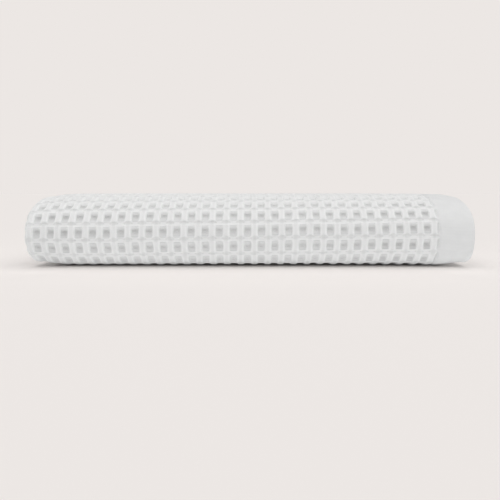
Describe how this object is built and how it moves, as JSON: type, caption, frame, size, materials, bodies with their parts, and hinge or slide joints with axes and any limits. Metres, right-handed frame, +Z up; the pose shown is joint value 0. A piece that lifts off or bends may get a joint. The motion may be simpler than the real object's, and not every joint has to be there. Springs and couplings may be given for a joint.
{
  "type": "folded bath sheet",
  "caption": "White waffle-weave cotton bath sheet with plain hems, folded into a flat rounded stack for a shelf.",
  "frame": {"origin": "on the surface it rests on, under the middle of the bounding box", "axes": "+X along the front fold towards the open hem edge, +Y from the front fold to the back folds, +Z up"},
  "size_m": [0.347, 0.314, 0.0575],
  "materials": {
    "cotton_waffle": "matt white cotton, waffle weave with plain woven hems"
  },
  "bodies": {
    "root": {"bath_sheet": "cotton_waffle"}
  },
  "joints": []
}
